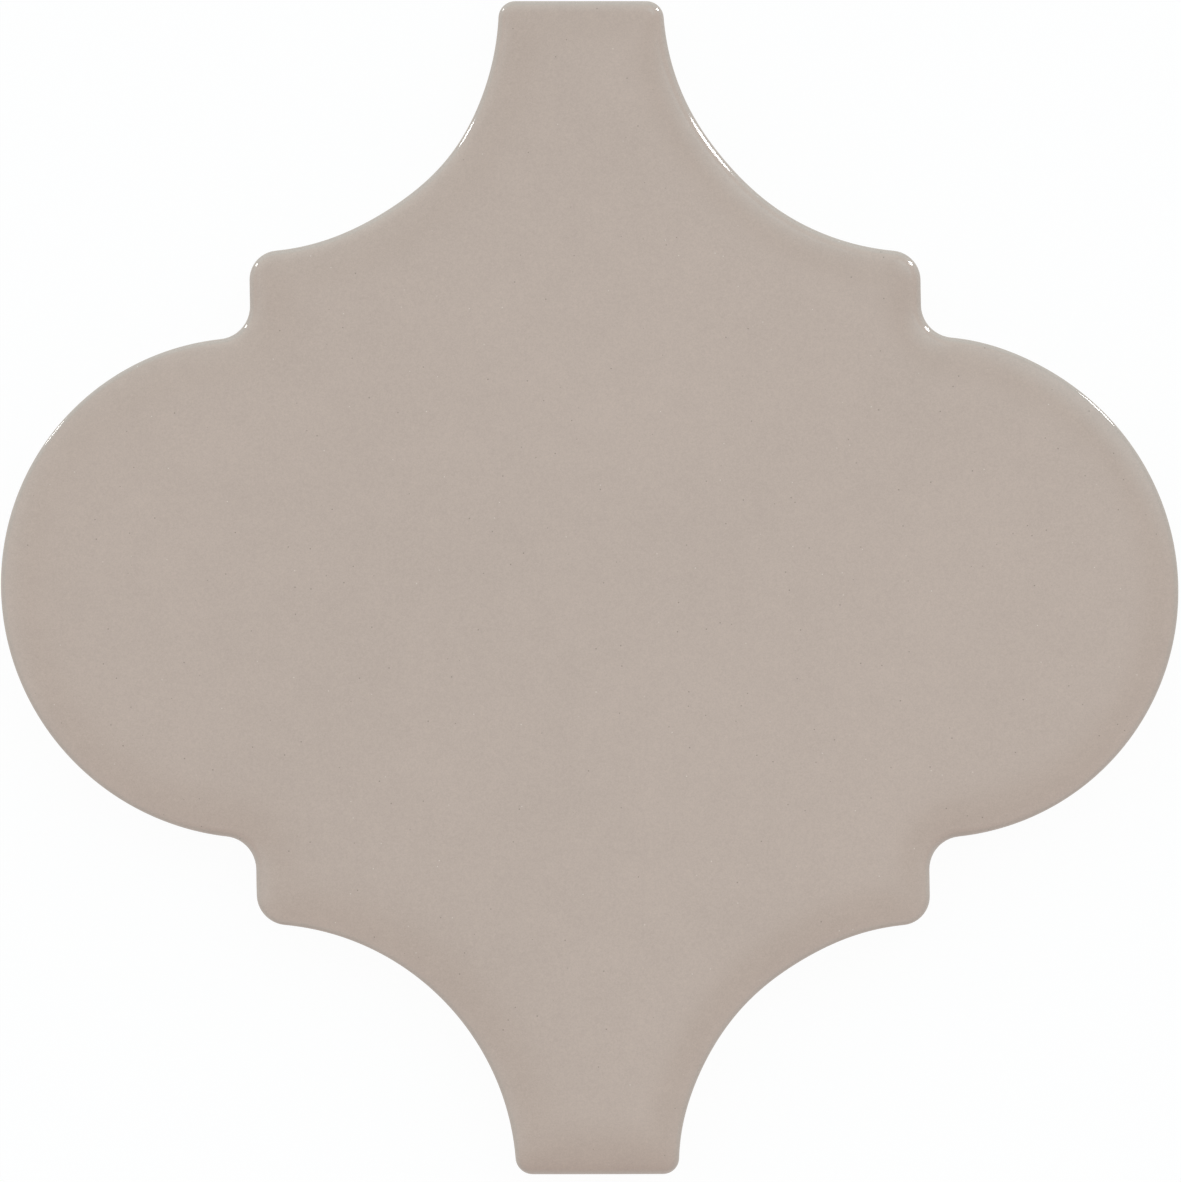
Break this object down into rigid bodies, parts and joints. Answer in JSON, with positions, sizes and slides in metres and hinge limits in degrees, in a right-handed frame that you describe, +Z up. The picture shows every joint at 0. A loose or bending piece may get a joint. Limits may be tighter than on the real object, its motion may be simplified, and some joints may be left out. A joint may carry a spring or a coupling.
{
  "type": "ceramic tile",
  "caption": "Lantern-shaped glazed ceramic wall tile with hollow flanks that take the lobes of like tiles, a round rim and a grooved back for adhesive.",
  "frame": {"origin": "middle of the tile's flat back, which lies on the floor", "axes": "+X to the tile's right, +Y towards its head, +Z up, out of the glazed face"},
  "size_m": [0.12, 0.1196, 0.0085],
  "materials": {
    "glaze": "gloss taupe glaze on a pale fired clay body"
  },
  "bodies": {
    "root": {"lantern_tile": "glaze"}
  },
  "joints": []
}
